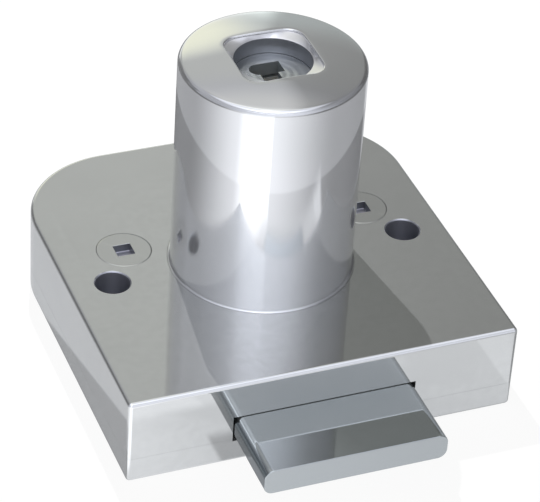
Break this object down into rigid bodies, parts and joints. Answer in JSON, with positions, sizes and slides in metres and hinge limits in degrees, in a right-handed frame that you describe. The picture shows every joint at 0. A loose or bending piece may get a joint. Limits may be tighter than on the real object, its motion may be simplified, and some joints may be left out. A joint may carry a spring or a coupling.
{
  "type": "cabinet lock",
  "caption": "Square rim cabinet lock: a round disc-detainer cylinder stands on a shallow case, and a flat dead bolt slides out of its front.",
  "frame": {"origin": "on the cylinder's axis, in the case's mounting face", "axes": "+Z along the cylinder out through the key face, +Y from the bolt's side towards the rear of the case, +X to the right seen from the bolt's side with the key face up"},
  "size_m": [0.048, 0.0579, 0.04],
  "materials": {
    "lock_case": "polished nickel plate",
    "back_cover": "polished nickel plate",
    "cover_screws": "polished nickel plate",
    "cylinder_housing": "polished nickel plate",
    "flange_screws": "zinc plated steel",
    "lock_core": "machined brass",
    "keyway_guard": "hardened steel, turned face",
    "detainer_disc_1": "stamped brass",
    "detainer_disc_2": "stamped brass",
    "detainer_disc_3": "stamped brass",
    "detainer_disc_4": "stamped brass",
    "detainer_disc_5": "stamped brass",
    "detainer_disc_6": "stamped brass",
    "detainer_disc_7": "stamped brass",
    "detainer_disc_8": "stamped brass",
    "detainer_disc_9": "stamped brass",
    "disc_spacers": "stamped steel",
    "sidebar": "ground steel bar",
    "return_bar": "ground steel bar",
    "core_washer": "spring steel",
    "core_circlip": "blackened spring steel",
    "bolt_pinion": "machined brass",
    "pinion_screw": "zinc plated steel",
    "dead_bolt": "polished nickel plated steel"
  },
  "bodies": {
    "case": {"lock_case": "lock_case", "back_cover": "back_cover", "cover_screws": "cover_screws", "cylinder_housing": "cylinder_housing", "flange_screws": "flange_screws", "core_washer": "core_washer", "core_circlip": "core_circlip"},
    "core": {"lock_core": "lock_core", "keyway_guard": "keyway_guard", "detainer_disc_1": "detainer_disc_1", "detainer_disc_2": "detainer_disc_2", "detainer_disc_3": "detainer_disc_3", "detainer_disc_4": "detainer_disc_4", "detainer_disc_5": "detainer_disc_5", "detainer_disc_6": "detainer_disc_6", "detainer_disc_7": "detainer_disc_7", "detainer_disc_8": "detainer_disc_8", "detainer_disc_9": "detainer_disc_9", "disc_spacers": "disc_spacers", "return_bar": "return_bar", "bolt_pinion": "bolt_pinion", "pinion_screw": "pinion_screw"},
    "sidebar": {"sidebar": "sidebar"},
    "bolt": {"dead_bolt": "dead_bolt"}
  },
  "joints": [
    {"name": "core_turn", "type": "hinge", "parent": "case", "child": "core", "pos_m": [0, 0, 0], "axis": [0, 0, -1], "range_deg": [0, 90]},
    {"name": "bolt_slide", "type": "slide", "parent": "case", "child": "bolt", "axis": [0, 1, 0], "range_m": [0, 0.0099]},
    {"name": "sidebar_slide", "type": "slide", "parent": "core", "child": "sidebar", "axis": [0, 1, 0], "range_m": [0, 0.00055]}
  ],
  "couplings": [
    {"joint": "core_turn", "follows": "bolt_slide", "rad_per_m": 158.67}
  ]
}
